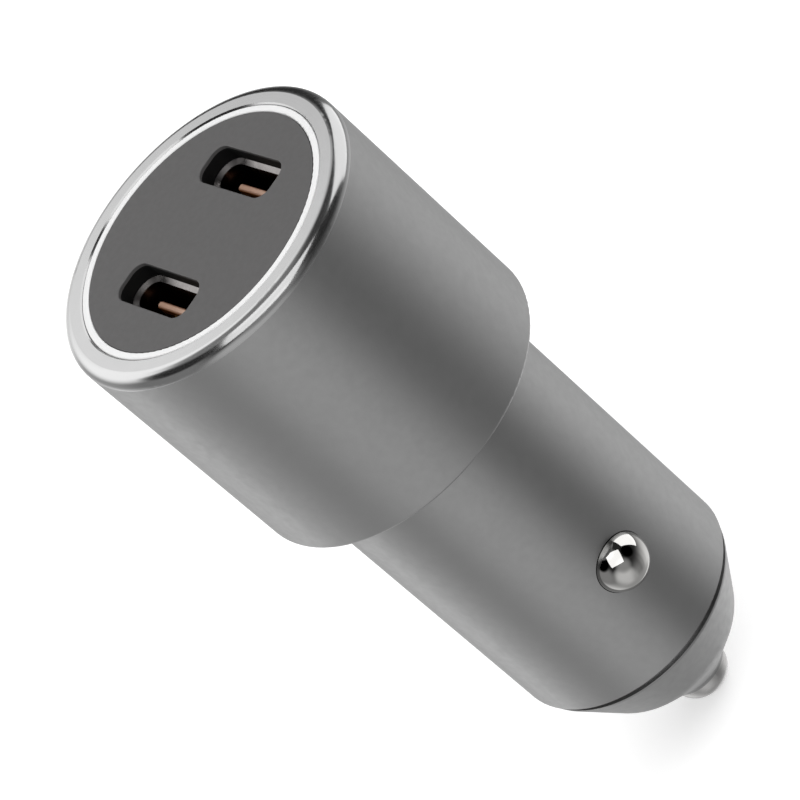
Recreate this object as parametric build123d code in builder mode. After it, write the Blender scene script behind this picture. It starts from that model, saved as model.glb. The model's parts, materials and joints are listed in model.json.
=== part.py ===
"""Car charger plug for a 12 V socket: a stepped metal body with two USB-C ports in its face.

The plug stands on its axis with the face up. The origin is on the axis, in the plane of the
shoulder that stops against the socket. X runs along the ports, and Y from one port to the other.
"""

import math
import os

from build123d import *

# All sizes are in millimetres.

# Body
head_radius = 13.45
head_length = 23.0
head_wall = 1.2
board_seat_width = 0.65
barrel_radius = 10.4
barrel_length = 29.4
barrel_wall = 1.0
shoulder_thickness = 1.4
head_rear_rounding = 0.3
barrel_end_chamfer = 0.08

# Front rings and panel
bezel_width = 2.07
bezel_edge_radius = 1.0
bezel_lip_height = 1.1
bezel_inner_chamfer = 0.12
light_ring_width = 0.6
light_ring_recess = 0.05
light_ring_rounding = 0.12
light_foot_thickness = 0.8
light_foot_ledge = 0.8
light_leg_width = 1.6
light_leg_depth = 1.0
panel_recess = 0.1
panel_thickness = 0.3
panel_opening_rounding = 0.06
front_clearance = 0.04
front_stack_height = 3.0

# Ports
port_spacing = 10.8
port_opening_width = 9.2
port_opening_height = 3.35
port_opening_corner = 1.2
shell_width = 9.24
shell_height = 3.46
shell_wall = 0.45
shell_lead_width = 0.4
shell_lead_depth = 0.23
shell_length = 7.7
shell_recess = 1.55
shell_clearance = 0.05
shell_leg_width = 0.8
shell_leg_length = 1.4
shell_leg_spacing = 4.4
tongue_width = 6.69
tongue_thickness = 0.6
tongue_recess = 1.4
tongue_base_height = 2.0
pin_count = 12
pin_pitch = 0.5
pin_width = 0.27
pin_thickness = 0.05
pin_setback = 0.5
carrier_plate = 1.2
carrier_rim = 0.8
sleeve_wall = 0.6

# Boards and what stands on them
port_board_thickness = 1.0
main_board_thickness = 1.0
board_edge_gap = 1.3
board_head_gap = 0.6
board_side_gap = 0.06
solder_gap = 0.05
led_count = 4
led_length = 1.6
led_width = 0.8
led_height = 0.6
led_gap = 0.1
inductor_size = 7.0
inductor_height = 4.2
inductor_corner = 0.8
output_can_radius = 3.15
output_can_height = 5.8
output_base_height = 0.8
input_can_radius = 3.15
input_can_length = 9.0
chip_size = 4.0
chip_height = 0.9
fuse_length = 6.1
fuse_width = 2.6
part_margin = 1.0

# Side contacts
side_contact_setback = 10.0
side_contact_radius = 2.45
side_contact_height = 1.95
side_flange_radius = 2.9
side_flange_thickness = 0.9
side_stem_radius = 1.2
side_stem_length = 2.0
side_hole_clearance = 0.03
side_bore_clearance = 0.1
side_spring_radius = 1.9
side_spring_wire = 0.45
side_spring_turns = 5
contact_block_length = 10.4
contact_block_gap = 0.1
ground_terminal_radius = 2.7
ground_terminal_thickness = 0.4

# Nose and tip
nose_length = 5.5
nose_groove = 0.6
nose_groove_depth = 0.3
nose_step = 0.3
nose_base_land = 0.15
nose_base_rounding = 0.5
nose_taper = 2.9
nose_end_rounding = 4.0
nose_end_wall = 0.9
nose_cone_angle = 46.0
nose_collar_wall = 0.25
nose_collar_flare = 0.7
nose_fit_gap = 0.05
tip_radius = 2.57
tip_protrusion = 2.4
tip_end_rounding = 1.8
tip_guide_clearance = 0.06
tip_flange_radius = 3.9
tip_flange_thickness = 1.0
tip_stem_radius = 1.4
tip_stem_length = 2.4
tip_cavity_clearance = 0.3
tip_spring_radius = 2.5
tip_spring_wire = 0.5
tip_spring_turns = 5
tip_terminal_thickness = 0.5
tip_terminal_rim = 1.2
tip_boss_radius = 1.7
tip_boss_height = 1.0
tip_prong_width = 3.0
tip_prong_length = 1.5
tip_prong_thickness = 0.35
rest_gap = 0.05

# Radii that follow from the body
head_bore = head_radius - head_wall
seat_bore = head_bore - board_seat_width
barrel_bore = barrel_radius - barrel_wall
nose_base_radius = barrel_radius - nose_step
nose_end_radius = nose_base_radius - nose_taper
bezel_inner = head_radius - bezel_width
bezel_spigot = head_bore - front_clearance
light_outer = bezel_inner - front_clearance
light_inner = light_outer - light_ring_width
panel_radius = light_inner - front_clearance
tip_cavity = tip_flange_radius + tip_cavity_clearance
tip_guide = tip_radius + tip_guide_clearance
collar_radius = tip_guide + nose_collar_wall

# Heights that follow, from the face down
panel_top = head_length - panel_recess
panel_bottom = panel_top - panel_thickness
housing_top = head_length - bezel_lip_height
foot_top = head_length - front_stack_height
shell_top = head_length - shell_recess
port_board_top = shell_top - shell_length
board_seat = port_board_top - port_board_thickness
tongue_top = shell_top - tongue_recess
led_top = port_board_top + solder_gap + led_height
barrel_end = -barrel_length
contact_height = barrel_end + side_contact_setback
block_top = contact_height + contact_block_length / 2
block_bottom = contact_height - contact_block_length / 2
terminal_bottom = block_bottom - tip_terminal_thickness
nose_end = barrel_end - nose_groove - nose_length
nose_floor = nose_end + nose_end_wall
cone_slope = math.radians(nose_cone_angle)
flare_radius = collar_radius + nose_collar_flare * (1 - math.cos(cone_slope))
flare_start = nose_end - (nose_end_radius - flare_radius) / math.tan(cone_slope)
collar_end = flare_start - nose_collar_flare * math.sin(cone_slope)
tip_end = collar_end - tip_protrusion

# Port places and board faces
ports = {"upper": port_spacing / 2, "lower": -port_spacing / 2}
sides = {"right": 1, "left": -1}
board_face = main_board_thickness / 2
mount_face = board_face + solder_gap

os.makedirs("parts", exist_ok=True)


def save(piece, name):
    """Label a finished piece and write it as its own file."""
    piece.part.label = name
    export_step(piece.part, f"parts/{name}.step")


# Housing: the turned body, open at both ends, with a seat for the port board
with BuildPart() as housing:
    with BuildSketch(Plane.XZ):
        with BuildLine():
            rim_start = (head_radius, head_rear_rounding)
            rim_end = (head_radius - head_rear_rounding, 0)
            Polyline(
                rim_start,
                (head_radius, housing_top),
                (head_bore, housing_top),
                (head_bore, board_seat),
                (seat_bore, board_seat),
                (seat_bore, shoulder_thickness),
                (barrel_bore, shoulder_thickness),
                (barrel_bore, barrel_end),
                (barrel_radius - barrel_end_chamfer, barrel_end),
                (barrel_radius, barrel_end + barrel_end_chamfer),
                (barrel_radius, 0),
                rim_end,
            )
            RadiusArc(rim_start, rim_end, head_rear_rounding)
        make_face()
    revolve(axis=Axis.Z)
    with BuildSketch(Plane.YZ):
        with Locations((0, contact_height)):
            Circle(side_contact_radius + side_hole_clearance)
    extrude(amount=head_radius, both=True, mode=Mode.SUBTRACT)
save(housing, "housing")

# Bezel ring: flat polished front, rounded outer edge, spigot in the head's bore
with BuildPart() as bezel_ring:
    with BuildSketch(Plane.XZ):
        with BuildLine():
            edge_start = (head_radius - bezel_edge_radius, head_length)
            edge_end = (head_radius, head_length - bezel_edge_radius)
            Polyline(
                edge_end,
                (head_radius, housing_top),
                (bezel_spigot, housing_top),
                (bezel_spigot, foot_top),
                (bezel_inner, foot_top),
                (bezel_inner, head_length - bezel_inner_chamfer),
                (bezel_inner + bezel_inner_chamfer, head_length),
                edge_start,
            )
            RadiusArc(edge_start, edge_end, bezel_edge_radius)
        make_face()
    revolve(axis=Axis.Z)
save(bezel_ring, "bezel_ring")

# Light ring: a white tube on a foot, with legs that bring the light up from the LEDs
light_leg_circle = (light_inner + light_outer) / 2
with BuildPart() as light_ring:
    with BuildSketch(Plane.XY.offset(foot_top)):
        Circle(light_outer)
        Circle(light_inner, mode=Mode.SUBTRACT)
    extrude(amount=front_stack_height - light_ring_recess)
    fillet(light_ring.edges().group_by(Axis.Z)[-1], light_ring_rounding)
    with BuildSketch(Plane.XY.offset(foot_top - light_foot_thickness)):
        Circle(bezel_spigot)
        Circle(panel_radius - light_foot_ledge, mode=Mode.SUBTRACT)
    extrude(amount=light_foot_thickness)
    with BuildSketch(Plane.XY.offset(led_top + led_gap)):
        with PolarLocations(light_leg_circle, led_count, start_angle=180 / led_count):
            Rectangle(light_leg_depth, light_leg_width)
    extrude(amount=foot_top - led_top - led_gap)
save(light_ring, "light_ring")

# Front panel: the thin dark face plate
with BuildPart() as front_panel:
    with BuildSketch(Plane.XY.offset(panel_bottom)):
        Circle(panel_radius)
        with Locations(*[(0, place) for place in ports.values()]):
            RectangleRounded(
                port_opening_width, port_opening_height, port_opening_corner, mode=Mode.SUBTRACT
            )
    extrude(amount=panel_thickness)
    opening_wires = front_panel.faces().sort_by(Axis.Z)[-1].inner_wires()
    opening_edges = [edge for wire in opening_wires for edge in wire.edges()]
    fillet(opening_edges, panel_opening_rounding)
save(front_panel, "front_panel")

# Port carrier: black cup under the panel, with a sleeve round each socket down to the port board
sleeve_growth = 2 * (shell_clearance + sleeve_wall)
with BuildPart() as port_carrier:
    with BuildSketch(Plane.XY.offset(foot_top)):
        Circle(panel_radius)
        Circle(panel_radius - carrier_rim, mode=Mode.SUBTRACT)
    extrude(amount=panel_bottom - foot_top)
    with BuildSketch(Plane.XY.offset(panel_bottom - carrier_plate)):
        Circle(panel_radius)
    extrude(amount=carrier_plate)
    with BuildSketch(Plane.XY.offset(port_board_top)):
        with Locations(*[(0, place) for place in ports.values()]):
            SlotOverall(shell_width + sleeve_growth, shell_height + sleeve_growth)
    extrude(amount=panel_bottom - port_board_top)
    with BuildSketch(Plane.XY.offset(port_board_top)):
        with Locations(*[(0, place) for place in ports.values()]):
            SlotOverall(shell_width + 2 * shell_clearance, shell_height + 2 * shell_clearance)
    extrude(amount=shell_length + shell_clearance, mode=Mode.SUBTRACT)
    with BuildSketch(Plane.XY.offset(shell_top)):
        with Locations(*[(0, place) for place in ports.values()]):
            RectangleRounded(port_opening_width, port_opening_height, port_opening_corner)
    extrude(amount=panel_bottom - shell_top, mode=Mode.SUBTRACT)
save(port_carrier, "port_carrier")

# Port board: round, on the seat in the head, with slots for the socket legs
with BuildPart() as port_board:
    with BuildSketch(Plane.XY.offset(board_seat)):
        Circle(head_bore - board_side_gap)
        with Locations(*[(0, place) for place in ports.values()]):
            with GridLocations(shell_leg_spacing, shell_height - shell_wall, 2, 2):
                Rectangle(
                    shell_leg_width + 2 * shell_clearance,
                    shell_wall + 2 * shell_clearance,
                    mode=Mode.SUBTRACT,
                )
    extrude(amount=port_board_thickness)
save(port_board, "port_board")

# LEDs under the legs of the light ring
with BuildPart() as ring_leds:
    with BuildSketch(Plane.XY.offset(port_board_top + solder_gap)):
        with PolarLocations(light_leg_circle, led_count, start_angle=180 / led_count):
            Rectangle(led_width, led_length)
    extrude(amount=led_height)
save(ring_leds, "ring_leds")

# The two USB-C sockets: a pressed shell, a moulded tongue and two rows of contacts
pin_length = tongue_top - pin_setback - port_board_top - tongue_base_height
for port, place in ports.items():
    with BuildPart() as usb_shell:
        with BuildSketch(Plane.XY.offset(port_board_top)):
            with Locations((0, place)):
                SlotOverall(shell_width, shell_height)
                SlotOverall(
                    shell_width - 2 * shell_wall, shell_height - 2 * shell_wall, mode=Mode.SUBTRACT
                )
        extrude(amount=shell_length)
        mouth = usb_shell.faces().sort_by(Axis.Z)[-1]
        chamfer(mouth.inner_wires()[0].edges(), shell_lead_width, shell_lead_depth, reference=mouth)
        with BuildSketch(Plane.XY.offset(port_board_top)):
            with Locations((0, place)):
                with GridLocations(shell_leg_spacing, shell_height - shell_wall, 2, 2):
                    Rectangle(shell_leg_width, shell_wall)
        extrude(amount=-shell_leg_length)
    save(usb_shell, f"usb_shell_{port}")

    base_inset = 2 * (shell_wall + shell_clearance)
    with BuildPart() as usb_tongue:
        with BuildSketch(Plane.XY.offset(port_board_top)):
            with Locations((0, place)):
                SlotOverall(shell_width - base_inset, shell_height - base_inset)
        extrude(amount=tongue_base_height)
        with BuildSketch(Plane.XY.offset(port_board_top)):
            with Locations((0, place)):
                Rectangle(tongue_width, tongue_thickness)
        extrude(amount=tongue_top - port_board_top)
        tip_edges = usb_tongue.edges().group_by(Axis.Z)[-1].filter_by(Axis.X)
        chamfer(tip_edges, tongue_thickness / 4)
    save(usb_tongue, f"usb_tongue_{port}")

    with BuildPart() as usb_contacts:
        with BuildSketch(Plane.XY.offset(port_board_top + tongue_base_height)):
            with Locations((0, place)):
                with GridLocations(pin_pitch, tongue_thickness + pin_thickness, pin_count, 2):
                    Rectangle(pin_width, pin_thickness)
        extrude(amount=pin_length)
    save(usb_contacts, f"usb_contacts_{port}")

# Main board: upright on the axis, narrow in the barrel and wide in the head
board_barrel_width = 2 * (barrel_bore - board_edge_gap)
board_head_width = 2 * (seat_bore - board_head_gap)
board_step = shoulder_thickness + board_edge_gap
with BuildPart() as main_board:
    with BuildSketch(Plane.YZ):
        with Locations((0, block_bottom)):
            Rectangle(
                board_barrel_width, board_seat - block_bottom, align=(Align.CENTER, Align.MIN)
            )
        with Locations((0, board_step)):
            Rectangle(board_head_width, board_seat - board_step, align=(Align.CENTER, Align.MIN))
    extrude(amount=board_face, both=True)
save(main_board, "main_board")

# Inductors side by side on the board's +X face in the head
inductor_height_on_axis = board_seat - part_margin - inductor_size / 2
inductor_offset = (inductor_size + part_margin) / 2
for port, direction in (("upper", 1), ("lower", -1)):
    with BuildPart() as inductor:
        with BuildSketch(Plane.YZ.offset(mount_face)):
            with Locations((direction * inductor_offset, inductor_height_on_axis)):
                RectangleRounded(inductor_size, inductor_size, inductor_corner)
        extrude(amount=inductor_height)
    save(inductor, f"inductor_{port}")

# Output capacitors on the board's -X face in the head: a square base and a round can
output_offset = output_can_radius + part_margin
for port, direction in (("upper", 1), ("lower", -1)):
    with BuildPart() as output_capacitor:
        with BuildSketch(Plane.YZ.offset(-mount_face)):
            with Locations((direction * output_offset, inductor_height_on_axis)):
                Rectangle(2 * output_can_radius, 2 * output_can_radius)
        extrude(amount=-output_base_height)
        with BuildSketch(Plane.YZ.offset(-mount_face)):
            with Locations((direction * output_offset, inductor_height_on_axis)):
                Circle(output_can_radius)
        extrude(amount=-output_can_height)
    save(output_capacitor, f"output_capacitor_{port}")

# Input capacitor: lies along the barrel on the board's +X face
input_can_bottom = block_top + part_margin
with BuildPart() as input_capacitor:
    with BuildSketch(Plane.XY.offset(input_can_bottom)):
        with Locations((mount_face + input_can_radius, 0)):
            Circle(input_can_radius)
    extrude(amount=input_can_length)
    fillet(input_capacitor.edges().filter_by(GeomType.CIRCLE), input_can_radius / 6)
save(input_capacitor, "input_capacitor")

# Controller chips and fuse on the board's -X face in the barrel
chip_offset = (chip_size + part_margin) / 2
chip_bottom = block_top + 2 * part_margin + fuse_width
for port, direction in (("upper", 1), ("lower", -1)):
    with BuildPart() as controller_chip:
        with BuildSketch(Plane.YZ.offset(-mount_face)):
            with Locations((direction * chip_offset, chip_bottom)):
                Rectangle(chip_size, chip_size, align=(Align.CENTER, Align.MIN))
        extrude(amount=-chip_height)
    save(controller_chip, f"controller_chip_{port}")

with BuildPart() as input_fuse:
    with BuildSketch(Plane.YZ.offset(-mount_face)):
        with Locations((0, block_top + part_margin)):
            Rectangle(fuse_length, fuse_width, align=(Align.CENTER, Align.MIN))
    extrude(amount=-fuse_width)
save(input_fuse, "input_fuse")

# Side contacts with what guides and carries them, one set on each side of the board
block_radius = barrel_bore - contact_block_gap
side_bore = side_flange_radius + side_bore_clearance
flange_front = math.sqrt(barrel_bore**2 - side_flange_radius**2) - rest_gap
flange_back = flange_front - side_flange_thickness
dome_top = barrel_radius + side_contact_height
dome_start = dome_top - side_contact_radius
ground_top = board_face + ground_terminal_thickness
side_spring_start = ground_top + rest_gap + side_spring_wire / 2
side_spring_end = flange_back - rest_gap - side_spring_wire / 2
board_slot = board_barrel_width / 2 + board_side_gap
prong_pocket = board_face + tip_prong_thickness + board_side_gap
for side, sign in sides.items():
    outward = Plane(origin=(0, 0, contact_height), x_dir=(0, 1, 0), z_dir=(sign, 0, 0))
    profile = Plane(origin=(0, 0, contact_height), x_dir=(sign, 0, 0), z_dir=(0, -sign, 0))
    contact_axis = Axis((0, 0, contact_height), (sign, 0, 0))

    with BuildPart() as contact_block:
        with BuildSketch(Plane.XY.offset(block_bottom)):
            Circle(block_radius)
            with Locations((-sign * block_radius / 2, 0)):
                Rectangle(block_radius, 2 * block_radius, mode=Mode.SUBTRACT)
            Rectangle(main_board_thickness, 2 * board_slot, mode=Mode.SUBTRACT)
        extrude(amount=contact_block_length)
        with BuildSketch(outward):
            Circle(side_bore)
        extrude(amount=barrel_radius, mode=Mode.SUBTRACT)
        with BuildSketch(Plane.XY.offset(block_bottom)):
            Rectangle(2 * prong_pocket, tip_prong_width + 2 * board_side_gap)
        extrude(amount=tip_prong_length + board_side_gap, mode=Mode.SUBTRACT)
    save(contact_block, f"contact_block_{side}")

    with BuildPart() as ground_terminal:
        with BuildSketch(outward.offset(board_face)):
            Circle(ground_terminal_radius)
        extrude(amount=ground_terminal_thickness)
    save(ground_terminal, f"ground_terminal_{side}")

    with BuildPart() as side_contact:
        with BuildSketch(profile):
            with BuildLine():
                dome_edge = (dome_start, side_contact_radius)
                Polyline(
                    (dome_top, 0),
                    (flange_back - side_stem_length, 0),
                    (flange_back - side_stem_length, side_stem_radius),
                    (flange_back, side_stem_radius),
                    (flange_back, side_flange_radius),
                    (flange_front, side_flange_radius),
                    (flange_front, side_contact_radius),
                    dome_edge,
                )
                RadiusArc(dome_edge, (dome_top, 0), side_contact_radius)
            make_face()
        revolve(axis=contact_axis)
    save(side_contact, f"side_contact_{side}")

    with BuildPart() as side_spring:
        side_coil_height = side_spring_end - side_spring_start
        with BuildLine():
            side_coil = Helix(
                side_coil_height / side_spring_turns,
                side_coil_height,
                side_spring_radius,
                center=(sign * side_spring_start, 0, contact_height),
                direction=(sign, 0, 0),
            )
        with BuildSketch(Plane(origin=side_coil @ 0, z_dir=side_coil % 0)):
            Circle(side_spring_wire / 2)
        sweep(path=side_coil, is_frenet=True)
    save(side_spring, f"side_spring_{side}")

# Nose cap: tapered cap with a spigot in the barrel, a cavity for the tip and a cone that guides it
nose_base = barrel_end - nose_groove
with BuildPart() as nose_cap:
    with BuildSketch(Plane.XZ):
        with BuildLine():
            Polyline(
                (collar_radius, collar_end),
                (tip_guide, collar_end),
                (tip_guide, nose_floor),
                (tip_cavity, nose_floor),
                (tip_cavity, terminal_bottom),
                (barrel_bore - nose_fit_gap, terminal_bottom),
                (barrel_bore - nose_fit_gap, barrel_end),
                (nose_base_radius - nose_groove_depth, barrel_end),
                (nose_base_radius - nose_groove_depth, nose_base),
                (nose_base_radius, nose_base),
                (nose_base_radius, nose_base - nose_base_land),
                (nose_end_radius, nose_end),
                (flare_radius, flare_start),
            )
            RadiusArc(
                (flare_radius, flare_start), (collar_radius, collar_end), -nose_collar_flare
            )
        make_face()
    revolve(axis=Axis.Z)
    rounds = nose_cap.edges().filter_by(GeomType.CIRCLE)
    end_edge = rounds.filter_by_position(Axis.Z, nose_end - rest_gap, nose_end + rest_gap)
    fillet(end_edge.sort_by(SortBy.RADIUS)[-1], nose_end_rounding)
    land_height = nose_base - nose_base_land
    rounds = nose_cap.edges().filter_by(GeomType.CIRCLE)
    land_edge = rounds.filter_by_position(Axis.Z, land_height - rest_gap, land_height + rest_gap)
    fillet(land_edge.sort_by(SortBy.RADIUS)[-1], nose_base_rounding)
save(nose_cap, "nose_cap")

# Tip terminal: brass plate clamped between the blocks and the nose, with prongs on the board
with BuildPart() as tip_terminal:
    with BuildSketch(Plane.XY.offset(terminal_bottom)):
        Circle(tip_cavity + tip_terminal_rim)
    extrude(amount=tip_terminal_thickness)
    with BuildSketch(Plane.XY.offset(terminal_bottom)):
        Circle(tip_boss_radius)
    extrude(amount=-tip_boss_height)
    with BuildSketch(Plane.XY.offset(block_bottom)):
        with GridLocations(main_board_thickness + tip_prong_thickness, 0, 2, 1):
            Rectangle(tip_prong_thickness, tip_prong_width)
    extrude(amount=tip_prong_length)
save(tip_terminal, "tip_terminal")

# Tip contact: rounded plunger with a flange behind the nose and a stem in its spring
tip_flange_bottom = nose_floor + rest_gap
tip_flange_top = tip_flange_bottom + tip_flange_thickness
with BuildPart() as tip_contact:
    with BuildSketch(Plane.XZ):
        with BuildLine():
            round_start = (tip_radius, tip_end + tip_end_rounding)
            round_end = (tip_radius - tip_end_rounding, tip_end)
            Polyline(
                round_end,
                (0, tip_end),
                (0, tip_flange_top + tip_stem_length),
                (tip_stem_radius, tip_flange_top + tip_stem_length),
                (tip_stem_radius, tip_flange_top),
                (tip_flange_radius, tip_flange_top),
                (tip_flange_radius, tip_flange_bottom),
                (tip_radius, tip_flange_bottom),
                round_start,
            )
            RadiusArc(round_start, round_end, tip_end_rounding)
        make_face()
    revolve(axis=Axis.Z)
save(tip_contact, "tip_contact")

# Tip spring: coil between the tip's flange and the terminal
tip_spring_start = tip_flange_top + rest_gap + tip_spring_wire / 2
tip_spring_end = terminal_bottom - rest_gap - tip_spring_wire / 2
with BuildPart() as tip_spring:
    tip_coil_height = tip_spring_end - tip_spring_start
    with BuildLine():
        tip_coil = Helix(
            tip_coil_height / tip_spring_turns,
            tip_coil_height,
            tip_spring_radius,
            center=(0, 0, tip_spring_start),
        )
    with BuildSketch(Plane(origin=tip_coil @ 0, z_dir=tip_coil % 0)):
        Circle(tip_spring_wire / 2)
    sweep(path=tip_coil, is_frenet=True)
save(tip_spring, "tip_spring")
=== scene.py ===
"""Car charger plug: the finishes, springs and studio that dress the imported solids."""

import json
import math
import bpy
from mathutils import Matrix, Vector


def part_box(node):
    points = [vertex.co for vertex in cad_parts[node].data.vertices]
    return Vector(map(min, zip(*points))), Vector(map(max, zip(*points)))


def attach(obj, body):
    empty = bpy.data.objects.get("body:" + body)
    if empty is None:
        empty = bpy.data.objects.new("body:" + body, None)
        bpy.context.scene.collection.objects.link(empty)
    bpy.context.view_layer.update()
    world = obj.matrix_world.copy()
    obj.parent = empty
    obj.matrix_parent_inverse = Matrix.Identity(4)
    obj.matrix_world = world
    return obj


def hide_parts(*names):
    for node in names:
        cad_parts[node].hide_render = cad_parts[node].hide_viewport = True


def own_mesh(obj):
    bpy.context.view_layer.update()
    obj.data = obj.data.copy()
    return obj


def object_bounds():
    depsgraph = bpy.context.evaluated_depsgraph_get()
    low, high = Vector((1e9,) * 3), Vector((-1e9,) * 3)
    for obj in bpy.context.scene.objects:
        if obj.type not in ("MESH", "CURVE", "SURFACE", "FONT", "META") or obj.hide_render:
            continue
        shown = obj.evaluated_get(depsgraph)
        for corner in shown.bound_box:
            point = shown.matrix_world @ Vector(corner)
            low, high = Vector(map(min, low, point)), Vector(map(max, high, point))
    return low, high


bl_info = {
    "name": "Car Charger Plug",
    "version": (1, 0, 0),
    "blender": (4, 5, 0),
    "location": "View3D > Sidebar > Charger",
    "description": "Finishes, springs and studio of a car charger plug with two USB-C ports",
    "category": "Object",
}

import bmesh
import bpy
from mathutils import Matrix, Vector

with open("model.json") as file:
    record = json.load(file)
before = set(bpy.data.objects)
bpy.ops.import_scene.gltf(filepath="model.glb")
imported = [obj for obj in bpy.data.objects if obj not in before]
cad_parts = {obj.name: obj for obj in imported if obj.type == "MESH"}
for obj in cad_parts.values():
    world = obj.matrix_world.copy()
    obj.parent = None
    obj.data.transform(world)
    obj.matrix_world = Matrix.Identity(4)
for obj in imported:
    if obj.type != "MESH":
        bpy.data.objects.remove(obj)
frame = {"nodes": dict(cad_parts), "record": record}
CAD_BOX = [list(corner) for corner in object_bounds()]

MM = 0.001
NODES = frame["nodes"]
PORTS = ("upper", "lower")
SIDES = {"right": 1, "left": -1}

# Fineness of the turned and coiled pieces
LATHE_STEPS = 96
BALL_STEPS = 32
SHARP_ANGLE = 30
SPRING_STEPS = 36
# A spring's wires that don't space its turns: half of one at each end and one in each closed turn
SPRING_END_WIRES = 3.0
# Normals of a packed turned mesh lean aside by less than this at its seam
SEAM_LEAN = 0.05
# Corners closer than a ten-thousandth of a millimetre are one, in decimals of a metre
WELD_DECIMALS = 7


def linear(code):
    """Linear RGBA of an sRGB hex colour."""
    channels = [int(code[place:place + 2], 16) / 255 for place in (0, 2, 4)]
    straight = [c / 12.92 if c <= 0.04045 else ((c + 0.055) / 1.055) ** 2.4 for c in channels]
    return (*straight, 1.0)


# Settings that a user would change


def colour_setting(name, code, description):
    """A colour property whose default is an sRGB hex colour."""
    return bpy.props.FloatVectorProperty(
        name=name, description=description, default=linear(code), size=4, subtype="COLOR", min=0, max=1
    )


class ChargerColours(bpy.types.PropertyGroup):
    """Colours of the finishes that show."""

    body: colour_setting("Body", "9A9A9A", "Anodised aluminium of the housing")
    bezel: colour_setting("Bezel", "A4A4A4", "Polished aluminium of the front ring")
    light: colour_setting("Light ring", "E6E6E6", "Milky plastic of the light ring")
    panel: colour_setting("Panel", "4C4B4B", "Matt plastic of the face")
    tongue: colour_setting("Tongue", "6E3A10", "Plastic of the socket tongues")
    # The tongue edge colour is a painted highlight on the front edge of the socket tongues.
    tongue_edge_highlight: colour_setting("Tongue edge", "D4AC94", "Worn front edge of the socket tongues")
    nose: colour_setting("Nose", "949494", "Metal-grey finish of the nose cap")


class ChargerSizes(bpy.types.PropertyGroup):
    """Sizes of the surface detail and of the springs."""

    blast_grain: bpy.props.FloatProperty(
        name="Blast grain", description="Width of one dimple of the blasted body",
        default=0.16 * MM, unit="LENGTH", precision=5,
    )
    contact_ball: bpy.props.FloatProperty(
        name="Contact ball", description="Radius of the side contacts' ball",
        default=2.45 * MM, unit="LENGTH", precision=5,
    )
    contact_stem: bpy.props.FloatVectorProperty(
        name="Contact stem", description="Radius and length of the side contacts' stem",
        default=(1.2 * MM, 2.0 * MM), size=2, unit="LENGTH", precision=5,
    )
    contact_flange: bpy.props.FloatProperty(
        name="Contact flange", description="Thickness of the side contacts' flange",
        default=0.9 * MM, unit="LENGTH", precision=5,
    )
    side_wire: bpy.props.FloatProperty(
        name="Side spring wire", description="Thickness of the side springs' wire",
        default=0.45 * MM, unit="LENGTH", precision=5,
    )
    tip_wire: bpy.props.FloatProperty(
        name="Tip spring wire", description="Thickness of the tip spring's wire",
        default=0.5 * MM, unit="LENGTH", precision=5,
    )
    spring_turns: bpy.props.FloatProperty(
        name="Spring turns", description="Turns of each spring, the closed ones among them",
        default=6.5, min=3,
    )
    spring_sides: bpy.props.IntProperty(
        name="Spring sides", description="Sides of the springs' round wire", default=16, min=6,
    )


class ChargerStudio(bpy.types.PropertyGroup):
    """Camera and light."""

    camera_place: bpy.props.FloatVectorProperty(
        name="Camera place", description="Where the camera stands", unit="LENGTH", subtype="XYZ",
        default=(276.43 * MM, -63.05 * MM, 197.10 * MM),
    )
    camera_aim: bpy.props.FloatVectorProperty(
        name="Camera aim", description="The point in the middle of the picture",
        unit="LENGTH", subtype="XYZ",
        default=(0.64 * MM, 0.26 * MM, -0.27 * MM),
    )
    camera_roll: bpy.props.FloatProperty(
        name="Camera roll", description="Turn of the camera about its own line of sight",
        default=math.radians(-48.7), unit="ROTATION",
    )
    camera_lens: bpy.props.FloatProperty(
        name="Lens", description="Focal length on a 36 mm sensor", default=203.18, min=1,
    )
    plain_level: bpy.props.FloatProperty(
        name="Plain level", description="Even light that matt surfaces receive", default=0.52, min=0,
    )
    lamp_level: bpy.props.FloatProperty(
        name="Lamp level", description="Brightness of the softboxes' fronts", default=1.5, min=0,
    )


# Nodes and materials

# Sockets of a Mix node that hold colours
MIX_A = 6
MIX_B = 7
MIX_RESULT = 2
# Most of a noise texture's values lie in this range
NOISE_RANGE = (0.3, 0.7)
# How far below the top of a socket's shell or tongue the painted shade in the shell, the painted
# highlight on the tongue's front edge and the painted shade down the tongue start, and over what reach
SHELL_PAINTED_SHADE = (0.23 * MM, 0.12 * MM)
TONGUE_PAINTED_HIGHLIGHT = (0.01 * MM, 0.14 * MM)
TONGUE_PAINTED_SHADE = (1.0 * MM, 3.0 * MM)


def add(tree, kind, sockets=None, **settings):
    """Add a node: settings are its properties, sockets its input values or outputs linked to them."""
    node = tree.nodes.new(kind)
    for name, value in settings.items():
        setattr(node, name, value)
    for name, value in (sockets or {}).items():
        if isinstance(value, bpy.types.NodeSocket):
            tree.links.new(value, node.inputs[name])
        else:
            node.inputs[name].default_value = value
    return node


def start_material(name):
    """An empty node material: the material, its tree and the object coordinates in it."""
    material = bpy.data.materials.new(name)
    material.use_nodes = True
    tree = material.node_tree
    tree.nodes.clear()
    place = add(tree, "ShaderNodeTexCoord").outputs["Object"]
    return material, tree, place


def end_material(tree, sockets):
    """Close a material with its Principled shader."""
    shader = add(tree, "ShaderNodeBsdfPrincipled", sockets)
    add(tree, "ShaderNodeOutputMaterial", {"Surface": shader.outputs["BSDF"]})


def mottle(tree, place, colour, share, patch):
    """A colour that drifts by a share of itself over patches of a size in metres."""
    cloud = add(tree, "ShaderNodeTexNoise", {"Vector": place, "Scale": 1 / patch, "Detail": 3.0})
    darker = [c * (1 - share) for c in colour[:3]] + [1.0]
    lighter = [min(c * (1 + share), 1.0) for c in colour[:3]] + [1.0]
    mixed = add(
        tree, "ShaderNodeMix", {"Factor": cloud.outputs["Fac"], MIX_A: darker, MIX_B: lighter},
        data_type="RGBA",
    )
    return mixed.outputs[MIX_RESULT]


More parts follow.
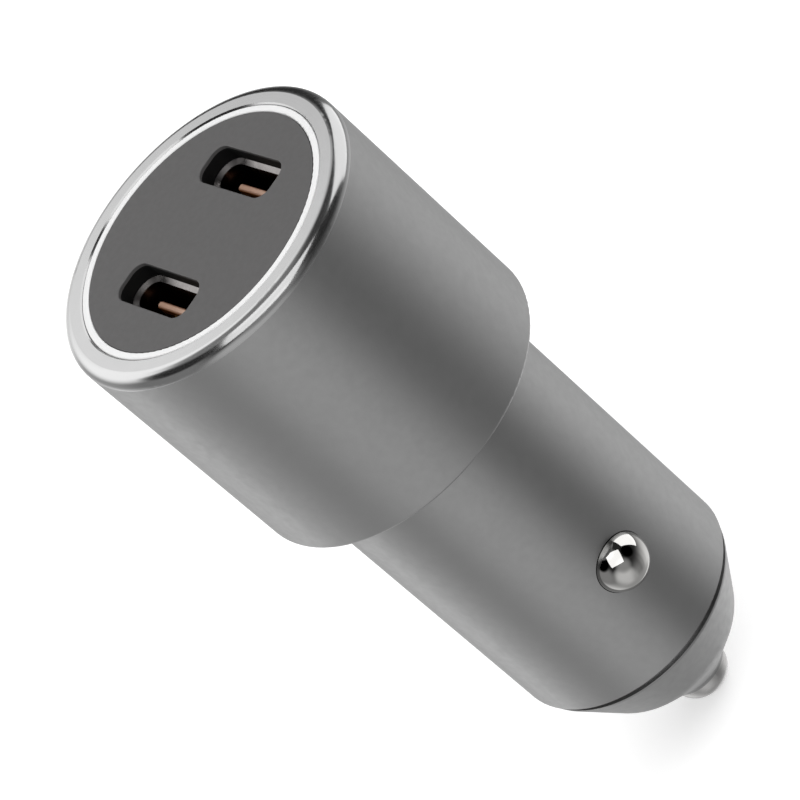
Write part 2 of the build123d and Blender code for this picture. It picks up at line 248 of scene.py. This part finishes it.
def vary(tree, place, low, high, patch):
    """A value that drifts between two limits over patches of a size in metres."""
    cloud = add(tree, "ShaderNodeTexNoise", {"Vector": place, "Scale": 1 / patch, "Detail": 2.0})
    spread = add(
        tree, "ShaderNodeMapRange",
        {
            "Value": cloud.outputs["Fac"],
            "From Min": NOISE_RANGE[0],
            "From Max": NOISE_RANGE[1],
            "To Min": low,
            "To Max": high,
        },
    )
    return spread.outputs["Result"]


def grain(tree, place, width, depth):
    """Normal of a fine irregular grain of a width and a depth in metres."""
    cells = add(tree, "ShaderNodeTexNoise", {"Vector": place, "Scale": 1 / width, "Detail": 2.0})
    bump = add(
        tree, "ShaderNodeBump", {"Height": cells.outputs["Fac"], "Distance": depth, "Strength": 1.0}
    )
    return bump.outputs["Normal"]


def turning_marks(tree, place, spacing, depth):
    """Normal of fine circular tool marks about the plug's axis."""
    flat = add(tree, "ShaderNodeVectorMath", {0: place, 1: (1, 1, 0)}, operation="MULTIPLY")
    radius = add(tree, "ShaderNodeVectorMath", {0: flat.outputs["Vector"]}, operation="LENGTH")
    marks = add(
        tree, "ShaderNodeTexNoise", {"W": radius.outputs["Value"], "Scale": 1 / spacing, "Detail": 2.0},
        noise_dimensions="1D",
    )
    bump = add(
        tree, "ShaderNodeBump", {"Height": marks.outputs["Fac"], "Distance": depth, "Strength": 1.0}
    )
    return bump.outputs["Normal"]


def blasted_aluminium(colours, sizes):
    """Bead-blasted, grey anodised aluminium: a soft metal sheen that breaks up in very small dimples."""
    material, tree, place = start_material("blasted_anodised_aluminium")
    # Real blast dimples are about 0.05 mm wide; they are drawn three times as wide to show.
    end_material(tree, {
        "Base Color": mottle(tree, place, colours.body, share=0.03, patch=1.5 * MM),
        "Metallic": 1.0,
        "Roughness": vary(tree, place, low=0.34, high=0.40, patch=0.6 * MM),
        "Normal": grain(tree, place, sizes.blast_grain, depth=0.004 * MM),
    })
    return material


def polished_aluminium(colours):
    """Diamond-turned aluminium: a bright clean metal with faint circular tool marks."""
    material, tree, place = start_material("diamond_turned_aluminium")
    # The tool marks leave a thin haze, which lifts the darkest reflections.
    end_material(tree, {
        "Base Color": mottle(tree, place, colours.bezel, share=0.02, patch=2.0 * MM),
        "Metallic": 0.95,
        "Roughness": vary(tree, place, low=0.14, high=0.18, patch=1.0 * MM),
        "Normal": turning_marks(tree, place, spacing=0.12 * MM, depth=0.0006 * MM),
    })
    return material


def milky_polycarbonate(colours):
    """Milky light guide: white, soft inside, with a satin skin."""
    material, tree, place = start_material("milky_polycarbonate")
    end_material(tree, {
        "Base Color": mottle(tree, place, colours.light, share=0.02, patch=1.5 * MM),
        "Roughness": vary(tree, place, low=0.35, high=0.45, patch=0.8 * MM),
        "IOR": 1.58,
        "Subsurface Weight": 0.3,
        "Subsurface Radius": (1.0, 1.0, 1.0),
        "Subsurface Scale": 0.3 * MM,
        "Normal": grain(tree, place, width=0.3 * MM, depth=0.002 * MM),
    })
    return material


def panel_plastic(colours):
    """Spark-textured plastic face: dark grey, matt, with an even fine grain."""
    material, tree, place = start_material("spark_textured_abs")
    # The spark texture is about 0.05 mm wide; it is drawn wider to show.
    end_material(tree, {
        "Base Color": mottle(tree, place, colours.panel, share=0.05, patch=0.5 * MM),
        "Roughness": vary(tree, place, low=0.50, high=0.60, patch=0.5 * MM),
        "IOR": 1.5,
        "Normal": grain(tree, place, width=0.14 * MM, depth=0.004 * MM),
    })
    return material


def moulded_plastic(name, code, low, high, skin, gloss=0.5):
    """Moulded plastic with a slightly uneven gloss and a fine skin."""
    material, tree, place = start_material(name)
    end_material(tree, {
        "Base Color": mottle(tree, place, linear(code), share=0.06, patch=0.8 * MM),
        "Roughness": vary(tree, place, low, high, patch=0.7 * MM),
        "IOR": 1.5,
        "Specular IOR Level": gloss,
        "Normal": grain(tree, place, width=0.15 * MM, depth=skin),
    })
    return material


def fade_down(tree, place, top, fade, above, below):
    """A colour that changes from one to another below a height: fade is where it starts and its reach."""
    start, reach = fade
    height = add(tree, "ShaderNodeSeparateXYZ", {"Vector": place}).outputs["Z"]
    depth = add(
        tree, "ShaderNodeMapRange",
        {"Value": height, "From Min": top - start, "From Max": top - start - reach},
        interpolation_type="SMOOTHSTEP",
    ).outputs["Result"]
    mixed = add(tree, "ShaderNodeMix", {"Factor": depth, MIX_A: above, MIX_B: below}, data_type="RGBA")
    return mixed.outputs[MIX_RESULT]


def socket_shell_steel(top):
    """Nickel-plated steel of the sockets: bright at the pressed lead-in, with painted shade that darkens
    it inside.
    """
    material, tree, place = start_material("nickel_plated_shell_steel")
    plate = mottle(tree, place, linear("747170"), share=0.04, patch=0.5 * MM)
    end_material(tree, {
        # Painted shade: the plate's colour darkens to a near-black brown below the lead-in, standing in
        # for the shade inside the socket.
        "Base Color": fade_down(tree, place, top, SHELL_PAINTED_SHADE, plate, linear("33261F")),
        "Metallic": 1.0,
        "Roughness": vary(tree, place, low=0.24, high=0.34, patch=0.6 * MM),
        "Normal": grain(tree, place, width=0.2 * MM, depth=0.002 * MM),
    })
    return material


def orange_resin(colours, top):
    """Glass-filled resin of the socket tongues: a painted highlight on the front edge, deep orange below,
    and darker still deeper in.
    """
    material, tree, place = start_material("orange_filled_resin")
    # Painted highlight: a pale colour on the tongue's front edge.
    edge = mottle(tree, place, colours.tongue_edge_highlight, share=0.08, patch=0.3 * MM)
    # Darker deeper down the tongue: partly the darker moulding of its base, partly painted shade inside
    # the socket.
    deep = fade_down(tree, place, top, TONGUE_PAINTED_SHADE, colours.tongue, linear("1A0D05"))
    end_material(tree, {
        "Base Color": fade_down(tree, place, top, TONGUE_PAINTED_HIGHLIGHT, edge, deep),
        "Roughness": vary(tree, place, low=0.30, high=0.42, patch=0.5 * MM),
        "IOR": 1.6,
        "Normal": grain(tree, place, width=0.10 * MM, depth=0.002 * MM),
    })
    return material


def metal_finish(name, code, low, high, mark, depth):
    """Bare or plated metal with fine marks of a width and a depth."""
    material, tree, place = start_material(name)
    end_material(tree, {
        "Base Color": mottle(tree, place, linear(code), share=0.03, patch=0.8 * MM),
        "Metallic": 1.0,
        "Roughness": vary(tree, place, low, high, patch=0.6 * MM),
        "Normal": grain(tree, place, mark, depth),
    })
    return material


def nose_finish(colours):
    """Metal-grey lacquer on the moulded nose: satin, with fine flakes."""
    material, tree, place = start_material("metal_grey_lacquer")
    end_material(tree, {
        "Base Color": mottle(tree, place, colours.nose, share=0.04, patch=0.3 * MM),
        "Metallic": 0.95,
        "Roughness": vary(tree, place, low=0.38, high=0.46, patch=0.6 * MM),
        "Normal": grain(tree, place, width=0.16 * MM, depth=0.003 * MM),
    })
    return material


# Shapes


def geometry_tree(name, inputs):
    """An empty geometry tree with named inputs: the tree, its input sockets and their identifiers."""
    tree = bpy.data.node_groups.new(name, "GeometryNodeTree")
    tree.interface.new_socket("Geometry", in_out="OUTPUT", socket_type="NodeSocketGeometry")
    ids = {
        label: tree.interface.new_socket(label, in_out="INPUT", socket_type=kind).identifier
        for label, kind in inputs.items()
    }
    given = add(tree, "NodeGroupInput").outputs
    return tree, given, ids


def end_geometry(tree, shape, material):
    """Close a geometry tree: real faces with their material."""
    real = add(tree, "GeometryNodeRealizeInstances", {"Geometry": shape})
    dressed = add(
        tree, "GeometryNodeSetMaterial", {"Geometry": real.outputs["Geometry"], "Material": material}
    )
    add(tree, "NodeGroupOutput", {"Geometry": dressed.outputs["Geometry"]})


def grow(name, tree, ids, values):
    """A piece with the plain mesh that a geometry tree makes from these values."""
    piece = bpy.data.objects.new(name, bpy.data.meshes.new(name))
    bpy.context.scene.collection.objects.link(piece)
    modifier = piece.modifiers.new(tree.name, "NODES")
    modifier.node_group = tree
    for label, value in values.items():
        modifier[ids[label]] = value
    grown = piece.evaluated_get(bpy.context.evaluated_depsgraph_get())
    mesh = bpy.data.meshes.new_from_object(grown)
    piece.modifiers.remove(modifier)
    piece.data = mesh
    return piece


def spring_tree():
    """Compression spring along Z from the origin: even turns between two closed ones."""
    tree, given, ids = geometry_tree("compression_spring", {
        "Length": "NodeSocketFloat",
        "Radius": "NodeSocketFloat",
        "Wire": "NodeSocketFloat",
        "Turns": "NodeSocketFloat",
        "Sides": "NodeSocketInt",
        "Material": "NodeSocketMaterial",
    })
    length, wire, turns = given["Length"], given["Wire"], given["Turns"]
    line = add(tree, "GeometryNodeCurvePrimitiveLine", {"End": (0, 0, 1)}).outputs["Curve"]
    points = add(tree, "ShaderNodeMath", {0: turns, 1: SPRING_STEPS}, operation="MULTIPLY")
    path = add(tree, "GeometryNodeResampleCurve", {"Curve": line, "Count": points.outputs["Value"]})
    along = add(tree, "GeometryNodeSplineParameter").outputs["Factor"]
    turn = add(tree, "ShaderNodeMath", {0: along, 1: turns}, operation="MULTIPLY").outputs["Value"]
    angle = add(tree, "ShaderNodeMath", {0: turn, 1: math.tau}, operation="MULTIPLY").outputs["Value"]
    last = add(tree, "ShaderNodeMath", {0: turns, 1: 1.0}, operation="SUBTRACT").outputs["Value"]
    ends = add(
        tree, "ShaderNodeMath", {0: wire, 1: SPRING_END_WIRES}, operation="MULTIPLY"
    ).outputs["Value"]
    free = add(tree, "ShaderNodeMath", {0: length, 1: ends}, operation="SUBTRACT").outputs["Value"]
    # Each end stands half a wire in, and its closed turn rises by one wire.
    half_wire = add(tree, "ShaderNodeMath", {0: wire, 1: 0.5}, operation="MULTIPLY").outputs["Value"]
    height = half_wire
    for start, end, gain in ((0.0, 1.0, wire), (1.0, last, free), (last, turns, wire)):
        rise = add(
            tree, "ShaderNodeMapRange",
            {"Value": turn, "From Min": start, "From Max": end, "To Min": 0.0, "To Max": gain},
        ).outputs["Result"]
        height = add(tree, "ShaderNodeMath", {0: height, 1: rise}).outputs["Value"]
    across = []
    for operation in ("COSINE", "SINE"):
        share = add(tree, "ShaderNodeMath", {0: angle}, operation=operation).outputs["Value"]
        out = add(tree, "ShaderNodeMath", {0: share, 1: given["Radius"]}, operation="MULTIPLY")
        across.append(out.outputs["Value"])
    place = add(tree, "ShaderNodeCombineXYZ", {"X": across[0], "Y": across[1], "Z": height})
    coil = add(
        tree, "GeometryNodeSetPosition",
        {"Geometry": path.outputs["Curve"], "Position": place.outputs["Vector"]},
    )
    section = add(
        tree, "GeometryNodeCurvePrimitiveCircle", {"Resolution": given["Sides"], "Radius": half_wire}
    ).outputs["Curve"]
    round_wire = add(
        tree, "GeometryNodeCurveToMesh",
        {"Curve": coil.outputs["Geometry"], "Profile Curve": section, "Fill Caps": True},
    )
    end_geometry(tree, round_wire.outputs["Mesh"], given["Material"])
    return tree, ids


def lathe(name, profile, axis_matrix, material):
    """A turned piece: the profile's (along, out) points spun about the local Z, then put in place."""
    shape = bmesh.new()
    rings = []
    for along, out in profile:
        if out == 0:
            rings.append([shape.verts.new((0, 0, along))])
            continue
        steps = [math.tau * step / LATHE_STEPS for step in range(LATHE_STEPS)]
        rings.append([shape.verts.new((out * math.cos(a), out * math.sin(a), along)) for a in steps])
    for first, second in zip(rings, rings[1:]):
        for step in range(LATHE_STEPS):
            after = (step + 1) % LATHE_STEPS
            corners = [
                first[step % len(first)], first[after % len(first)],
                second[after % len(second)], second[step % len(second)],
            ]
            shape.faces.new(list(dict.fromkeys(corners)))
    bmesh.ops.recalc_face_normals(shape, faces=shape.faces)
    mesh = bpy.data.meshes.new(name)
    shape.to_mesh(mesh)
    shape.free()
    mesh.transform(axis_matrix)
    mesh.polygons.foreach_set("use_smooth", [True] * len(mesh.polygons))
    mesh.set_sharp_from_angle(angle=math.radians(SHARP_ANGLE))
    mesh.materials.append(material)
    piece = bpy.data.objects.new(name, mesh)
    bpy.context.scene.collection.objects.link(piece)
    return piece


def stand_in(piece, node):
    """Let a finished piece stand for a CAD node: put it on the node's body and hide the node."""
    record = frame["record"]
    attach(piece, next(body for body, nodes in record["behaviour"]["bodies"].items() if node in nodes))
    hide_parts(node)


def turned_skin(node, material):
    """The closed shape of a turned CAD piece, with shading that runs on across the seam of its mesh."""
    packed = NODES[node].data
    spots, faces, normals = {}, [], []
    for polygon in packed.polygons:
        face = []
        for corner in polygon.loop_indices:
            place = packed.vertices[packed.loops[corner].vertex_index].co
            face.append(spots.setdefault(tuple(round(c, WELD_DECIMALS) for c in place), len(spots)))
            normal = Vector(packed.corner_normals[corner].vector)
            aside = Vector((-place.y, place.x, 0)).normalized()
            lean = normal.dot(aside)
            normals.append((normal - aside * lean).normalized() if abs(lean) < SEAM_LEAN else normal)
        faces.append(face)
    mesh = bpy.data.meshes.new(f"{node}_skin")
    mesh.from_pydata(list(spots), [], faces)
    mesh.polygons.foreach_set("use_smooth", [True] * len(faces))
    mesh.normals_split_custom_set(normals)
    mesh.materials.append(material)
    piece = bpy.data.objects.new(f"{node}_skin", mesh)
    bpy.context.scene.collection.objects.link(piece)
    stand_in(piece, node)


def dress(material, *names):
    """Give CAD nodes a material."""
    for name in names:
        slots = NODES[name].data.materials
        slots.clear()
        slots.append(material)


# Operators, one for each group of pieces


class CHARGER_OT_body(bpy.types.Operator):
    """Finish the housing and the nose"""

    bl_idname = "charger.body"
    bl_label = "Body"

    def execute(self, context):
        colours = context.scene.charger_colours
        sizes = context.scene.charger_sizes
        turned_skin("housing", blasted_aluminium(colours, sizes))
        turned_skin("nose_cap", nose_finish(colours))
        return {"FINISHED"}


class CHARGER_OT_front(bpy.types.Operator):
    """Finish the bezel ring, the light ring and the panel"""

    bl_idname = "charger.front"
    bl_label = "Front"

    def execute(self, context):
        colours = context.scene.charger_colours
        turned_skin("bezel_ring", polished_aluminium(colours))
        turned_skin("light_ring", milky_polycarbonate(colours))
        dress(panel_plastic(colours), "front_panel")
        return {"FINISHED"}


class CHARGER_OT_ports(bpy.types.Operator):
    """Finish the port carrier and the two sockets"""

    bl_idname = "charger.ports"
    bl_label = "Ports"

    def execute(self, context):
        colours = context.scene.charger_colours
        black = moulded_plastic("black_nylon", "0E0E0E", low=0.50, high=0.60, skin=0.003 * MM, gloss=0.2)
        steel = socket_shell_steel(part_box("usb_shell_upper")[1][2])
        gold = metal_finish(
            "gold_plate", "E6B566", low=0.18, high=0.28, mark=0.1 * MM, depth=0.001 * MM
        )
        resin = orange_resin(colours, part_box("usb_tongue_upper")[1][2])
        dress(black, "port_carrier", "contact_block_right", "contact_block_left")
        for port in PORTS:
            dress(steel, f"usb_shell_{port}")
            dress(resin, f"usb_tongue_{port}")
            dress(gold, f"usb_contacts_{port}")
        return {"FINISHED"}


def side_contact(side, sign, sizes, material):
    """Turned plunger with a ball end, a flange that holds it in the barrel and a stem for its spring."""
    node = f"side_contact_{side}"
    lowest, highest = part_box(node)
    length = highest[0] - lowest[0]
    flange = (highest[1] - lowest[1]) / 2
    ball = sizes.contact_ball
    stem, stem_length = sizes.contact_stem
    flange_top = stem_length + sizes.contact_flange
    quarter = [math.pi / 2 * step / BALL_STEPS for step in range(BALL_STEPS)]
    profile = [
        (0, 0),
        (0, stem),
        (stem_length, stem),
        (stem_length, flange),
        (flange_top, flange),
        (flange_top, ball),
        *[(length - ball + ball * math.sin(a), ball * math.cos(a)) for a in quarter],
        (length, 0),
    ]
    start = lowest[0] if sign > 0 else highest[0]
    middle = (lowest[2] + highest[2]) / 2
    turned = Matrix.Rotation(sign * math.pi / 2, 4, "Y")
    placed = Matrix.Translation((start, 0, middle)) @ turned
    stand_in(lathe(f"contact_ball_{side}", profile, placed, material), node)


class CHARGER_OT_contacts(bpy.types.Operator):
    """Turn the side contacts and finish the tip and the brass terminals"""

    bl_idname = "charger.contacts"
    bl_label = "Contacts"

    def execute(self, context):
        sizes = context.scene.charger_sizes
        bright = metal_finish(
            "bright_nickel_plate", "B9B8B6", low=0.03, high=0.06, mark=0.6 * MM, depth=0.0004 * MM
        )
        satin = metal_finish(
            "satin_nickel_plate", "B2B1B0", low=0.26, high=0.34, mark=0.2 * MM, depth=0.002 * MM
        )
        brass = metal_finish(
            "brass_strip", "C9A24D", low=0.30, high=0.40, mark=0.2 * MM, depth=0.003 * MM
        )
        for side, sign in SIDES.items():
            side_contact(side, sign, sizes, bright)
        turned_skin("tip_contact", satin)
        dress(brass, "ground_terminal_right", "ground_terminal_left", "tip_terminal")
        return {"FINISHED"}


def coil_spring(node, axis, wire, tree, ids, sizes, material):
    """A spring where a CAD spring stands, from its fixed end towards what it pushes."""
    lowest, highest = (Vector(corner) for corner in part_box(node))
    middle = (lowest + highest) / 2
    spread = highest - lowest
    length = abs(spread.dot(axis))
    width = max(spread - Vector([abs(part) for part in axis]) * length)
    fixed = middle - axis * length / 2
    piece = grow(f"{node}_coil", tree, ids, {
        "Length": length,
        "Radius": (width - wire) / 2,
        "Wire": wire,
        "Turns": sizes.spring_turns,
        "Sides": sizes.spring_sides,
        "Material": material,
    })
    piece.data.transform(Matrix.Translation(fixed) @ axis.to_track_quat("Z", "Y").to_matrix().to_4x4())
    stand_in(piece, node)
    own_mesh(piece)


class CHARGER_OT_springs(bpy.types.Operator):
    """Coil the side springs and the tip spring"""

    bl_idname = "charger.springs"
    bl_label = "Springs"

    def execute(self, context):
        sizes = context.scene.charger_sizes
        wire = metal_finish(
            "drawn_spring_wire", "BFBFC2", low=0.22, high=0.32, mark=0.10 * MM, depth=0.002 * MM
        )
        tree, ids = spring_tree()
        springs = [
            (f"side_spring_{side}", f"side_plunge_{side}", Vector((sign, 0, 0)), sizes.side_wire)
            for side, sign in SIDES.items()
        ]
        springs.append(("tip_spring", "tip_plunge", Vector((0, 0, -1)), sizes.tip_wire))
        for node, joint, axis, thickness in springs:
            coil_spring(node, axis, thickness, tree, ids, sizes, wire)
        return {"FINISHED"}


class CHARGER_OT_electronics(bpy.types.Operator):
    """Finish the boards and the parts on them"""

    bl_idname = "charger.electronics"
    bl_label = "Electronics"

    def execute(self, context):
        mask = moulded_plastic("green_solder_mask", "1E5537", low=0.30, high=0.42, skin=0.003 * MM)
        ferrite = moulded_plastic("pressed_ferrite", "3F3F42", low=0.55, high=0.70, skin=0.010 * MM)
        resin = moulded_plastic("black_chip_resin", "242426", low=0.50, high=0.60, skin=0.004 * MM)
        ceramic = moulded_plastic("fired_ceramic", "E5E1D6", low=0.30, high=0.40, skin=0.004 * MM)
        lens = moulded_plastic("yellow_led_resin", "EBE6BC", low=0.20, high=0.30, skin=0.001 * MM)
        can = metal_finish(
            "drawn_can_aluminium", "DEDEE0", low=0.22, high=0.32, mark=0.15 * MM, depth=0.002 * MM
        )
        dress(mask, "port_board", "main_board")
        dress(ceramic, "input_fuse")
        dress(lens, "ring_leds")
        dress(can, "input_capacitor")
        for port in PORTS:
            dress(ferrite, f"inductor_{port}")
            dress(resin, f"controller_chip_{port}")
            dress(can, f"output_capacitor_{port}")
        return {"FINISHED"}


# Studio: what the metal sees, in degrees about the plug's axis and above the horizon

WALL_LEVELS = (
    (-180, 1.00),
    (-170, 1.20),
    (-150, 1.95),
    (-120, 1.00),
    (-83, 0.54),
    (-43, 0.80),
    (-10, 0.57),
    (13, 0.34),
    (29, 0.29),
    (45, 0.45),
    (65, 0.85),
    (90, 1.18),
    (108, 1.16),
    (125, 0.95),
    (141, 0.66),
    (165, 0.80),
    (180, 1.00),
)
# Upward part of the sight lines between which the walls fade into the ceiling
WALL_TOP = (-0.75, 0.10)
CEILING_LEVEL = 0.035
# Each card: azimuth, elevation, half width, soft edge, level
CARDS = {
    "table_below": (0, -90, 24, 30, 0.48),
    "table_right": (148, -61, 16, 18, 1.4),
    "table_left": (-174, -48, 18, 22, 0.65),
    "table_glow": (-38, -15, 24, 36, 0.90),
    "left_board": (-95, 6, 26, 26, 0.36),
    "ceiling_board": (-60, 82, 16, 20, 0.30),
    "front_board": (-15, 14, 18, 34, 0.42),
    "backdrop_left": (-148, 0, 22, 30, 0.60),
    "backdrop": (174, -8, 15, 20, 1.5),
    "back_board": (-158, 40, 30, 33, 2.25),
    "back_flag": (149, 18, 15, 12, 0.0),
    "right_flag": (43, 27, 22, 10, 0.0),
    "left_flag": (-100, 44, 24, 10, 0.0),
    "ceiling_back": (-150, 74, 22, 12, 0.38),
}
# Each softbox: azimuth, elevation, turn about its own line, half width
SOFTBOXES = {"lamp_front": (-20, 54, -16, 27), "lamp_side": (100, 20, 0, 30)}
SOFTBOX_DISTANCE = 0.5
FLOOR_GAP = 0.05 * MM
FLOOR_REACH = 2.0
# Brightness that the camera sees on top of the floor's own light, close to the plug and far from it
FLOOR_LIFT = (0.35, 0.62)
FLOOR_FADE = (60 * MM, 260 * MM)
# Width of the sensor in millimetres, and the nearest distance that the camera draws
SENSOR_WIDTH = 36
CAMERA_CLIP = 10 * MM


def toward(azimuth, elevation):
    """Unit vector from the plug towards an azimuth and elevation in degrees."""
    turn = math.radians(azimuth)
    rise = math.radians(elevation)
    return Vector((math.cos(turn) * math.cos(rise), math.sin(turn) * math.cos(rise), math.sin(rise)))


def make_world(studio):
    """White for the camera, an even level for matt surfaces, and soft walls and cards for metal."""
    world = bpy.data.worlds.new("studio")
    world.use_nodes = True
    world.cycles.sampling_method = "NONE"
    tree = world.node_tree
    tree.nodes.clear()
    sight = add(tree, "ShaderNodeTexCoord").outputs["Generated"]
    parts = add(tree, "ShaderNodeSeparateXYZ", {"Vector": sight}).outputs
    turn = add(tree, "ShaderNodeMath", {0: parts["Y"], 1: parts["X"]}, operation="ARCTAN2")
    share = add(
        tree, "ShaderNodeMapRange",
        {"Value": turn.outputs["Value"], "From Min": -math.pi, "From Max": math.pi},
    ).outputs["Result"]
    top = max(level for azimuth, level in WALL_LEVELS)
    ramp = add(tree, "ShaderNodeValToRGB", {"Fac": share})
    ramp.color_ramp.interpolation = "EASE"
    stops = ramp.color_ramp.elements
    for azimuth, level in WALL_LEVELS[1:-1]:
        stops.new((azimuth + 180) / 360)
    for stop, (azimuth, level) in zip(stops, WALL_LEVELS):
        stop.position = (azimuth + 180) / 360
        stop.color = (level / top, level / top, level / top, 1.0)
    wall = add(tree, "ShaderNodeMath", {0: ramp.outputs["Color"], 1: top}, operation="MULTIPLY")
    rise = add(
        tree, "ShaderNodeMapRange",
        {"Value": parts["Z"], "From Min": WALL_TOP[0], "From Max": WALL_TOP[1]},
        interpolation_type="SMOOTHSTEP",
    ).outputs["Result"]
    seen = add(
        tree, "ShaderNodeMix", {"Factor": rise, "A": wall.outputs["Value"], "B": CEILING_LEVEL}
    ).outputs["Result"]
    for azimuth, elevation, half, edge, level in CARDS.values():
        facing = add(
            tree, "ShaderNodeVectorMath", {0: sight, 1: toward(azimuth, elevation)},
            operation="DOT_PRODUCT",
        ).outputs["Value"]
        cover = add(
            tree, "ShaderNodeMapRange",
            {
                "Value": facing,
                "From Min": math.cos(math.radians(half + edge / 2)),
                "From Max": math.cos(math.radians(half - edge / 2)),
            },
            interpolation_type="SMOOTHSTEP",
        ).outputs["Result"]
        seen = add(tree, "ShaderNodeMix", {"Factor": cover, "A": seen, "B": level}).outputs["Result"]
    path = add(tree, "ShaderNodeLightPath").outputs
    lit = add(
        tree, "ShaderNodeMix", {"Factor": path["Is Diffuse Ray"], "A": seen, "B": studio.plain_level}
    ).outputs["Result"]
    shown = add(tree, "ShaderNodeMix", {"Factor": path["Is Camera Ray"], "A": lit, "B": 1.0})
    sky = add(
        tree, "ShaderNodeBackground", {"Color": (1, 1, 1, 1), "Strength": shown.outputs["Result"]}
    )
    add(tree, "ShaderNodeOutputWorld", {"Surface": sky.outputs["Background"]})
    return world


def make_floor():
    """Pale floor that shows white round the soft shadow."""
    height = CAD_BOX[0][2] - FLOOR_GAP
    mesh = bpy.data.meshes.new("floor")
    square = ((-1, -1), (1, -1), (1, 1), (-1, 1))
    corners = [(x * FLOOR_REACH, y * FLOOR_REACH, height) for x, y in square]
    mesh.from_pydata(corners, [], [(0, 1, 2, 3)])
    floor = bpy.data.objects.new("floor", mesh)
    bpy.context.scene.collection.objects.link(floor)
    floor.visible_glossy = False
    material = bpy.data.materials.new("pale_paper")
    material.use_nodes = True
    tree = material.node_tree
    tree.nodes.clear()
    path = add(tree, "ShaderNodeLightPath").outputs
    place = add(tree, "ShaderNodeTexCoord").outputs["Object"]
    flat = add(tree, "ShaderNodeVectorMath", {0: place, 1: (1, 1, 0)}, operation="MULTIPLY")
    reach = add(tree, "ShaderNodeVectorMath", {0: flat.outputs["Vector"]}, operation="LENGTH")
    level = add(
        tree, "ShaderNodeMapRange",
        {
            "Value": reach.outputs["Value"],
            "From Min": FLOOR_FADE[0],
            "From Max": FLOOR_FADE[1],
            "To Min": FLOOR_LIFT[0],
            "To Max": FLOOR_LIFT[1],
        },
    ).outputs["Result"]
    paper = add(tree, "ShaderNodeBsdfDiffuse", {"Color": linear("F3F3F3")})
    lift = add(tree, "ShaderNodeMath", {0: path["Is Camera Ray"], 1: level}, operation="MULTIPLY")
    glow = add(tree, "ShaderNodeEmission", {"Strength": lift.outputs["Value"]})
    both = add(tree, "ShaderNodeAddShader", {0: paper.outputs["BSDF"], 1: glow.outputs["Emission"]})
    add(tree, "ShaderNodeOutputMaterial", {"Surface": both.outputs["Shader"]})
    mesh.materials.append(material)


def make_lamps(studio):
    """Two square softboxes."""
    for name, (azimuth, elevation, roll, half) in SOFTBOXES.items():
        width = 2 * SOFTBOX_DISTANCE * math.tan(math.radians(half))
        lamp = bpy.data.lights.new(name, "AREA")
        lamp.shape = "SQUARE"
        lamp.size = width
        # A square lamp's front is as bright as its power over four times its area.
        lamp.energy = 4 * studio.lamp_level * width ** 2
        holder = bpy.data.objects.new(name, lamp)
        bpy.context.scene.collection.objects.link(holder)
        place = toward(azimuth, elevation)
        holder.location = place * SOFTBOX_DISTANCE
        facing = place.to_track_quat("Z", "Y").to_matrix()
        holder.rotation_euler = (facing @ Matrix.Rotation(math.radians(roll), 3, "Z")).to_euler()
        holder.visible_camera = False


def make_camera(studio):
    """Camera at the photograph's place."""
    camera = bpy.data.cameras.new("camera")
    camera.sensor_width = SENSOR_WIDTH
    camera.lens = studio.camera_lens
    camera.clip_start = CAMERA_CLIP
    holder = bpy.data.objects.new("camera", camera)
    bpy.context.scene.collection.objects.link(holder)
    place = Vector(studio.camera_place)
    look = (Vector(studio.camera_aim) - place).to_track_quat("-Z", "Y").to_matrix().to_4x4()
    holder.matrix_world = Matrix.Translation(place) @ look @ Matrix.Rotation(studio.camera_roll, 4, "Z")
    bpy.context.scene.camera = holder


class CHARGER_OT_stage(bpy.types.Operator):
    """Set the floor, the softboxes, the studio walls and the camera"""

    bl_idname = "charger.stage"
    bl_label = "Stage"

    def execute(self, context):
        studio = context.scene.charger_studio
        context.scene.world = make_world(studio)
        make_floor()
        make_lamps(studio)
        make_camera(studio)
        context.scene.view_settings.view_transform = "Standard"
        return {"FINISHED"}


class CHARGER_PT_panel(bpy.types.Panel):
    """The charger's pieces and settings"""

    bl_idname = "CHARGER_PT_panel"
    bl_label = "Car charger plug"
    bl_space_type = "VIEW_3D"
    bl_region_type = "UI"
    bl_category = "Charger"

    def draw(self, context):
        layout = self.layout
        for operator in OPERATORS:
            layout.operator(operator.bl_idname)
        for setting in SETTINGS:
            group = getattr(context.scene, setting)
            for name in group.__annotations__:
                layout.prop(group, name)


OPERATORS = (
    CHARGER_OT_body,
    CHARGER_OT_front,
    CHARGER_OT_ports,
    CHARGER_OT_contacts,
    CHARGER_OT_springs,
    CHARGER_OT_electronics,
    CHARGER_OT_stage,
)
SETTINGS = {
    "charger_colours": ChargerColours,
    "charger_sizes": ChargerSizes,
    "charger_studio": ChargerStudio,
}


def register():
    for kind in (*SETTINGS.values(), *OPERATORS, CHARGER_PT_panel):
        bpy.utils.register_class(kind)
    for name, kind in SETTINGS.items():
        setattr(bpy.types.Scene, name, bpy.props.PointerProperty(type=kind))


def unregister():
    for name in SETTINGS:
        delattr(bpy.types.Scene, name)
    for kind in reversed((*SETTINGS.values(), *OPERATORS, CHARGER_PT_panel)):
        bpy.utils.unregister_class(kind)


def main():
    """Register the add-on and build every piece in order."""
    register()
    bpy.ops.charger.body()
    bpy.ops.charger.front()
    bpy.ops.charger.ports()
    bpy.ops.charger.contacts()
    bpy.ops.charger.springs()
    bpy.ops.charger.electronics()
    bpy.ops.charger.stage()


if __name__ == "__main__":
    main()
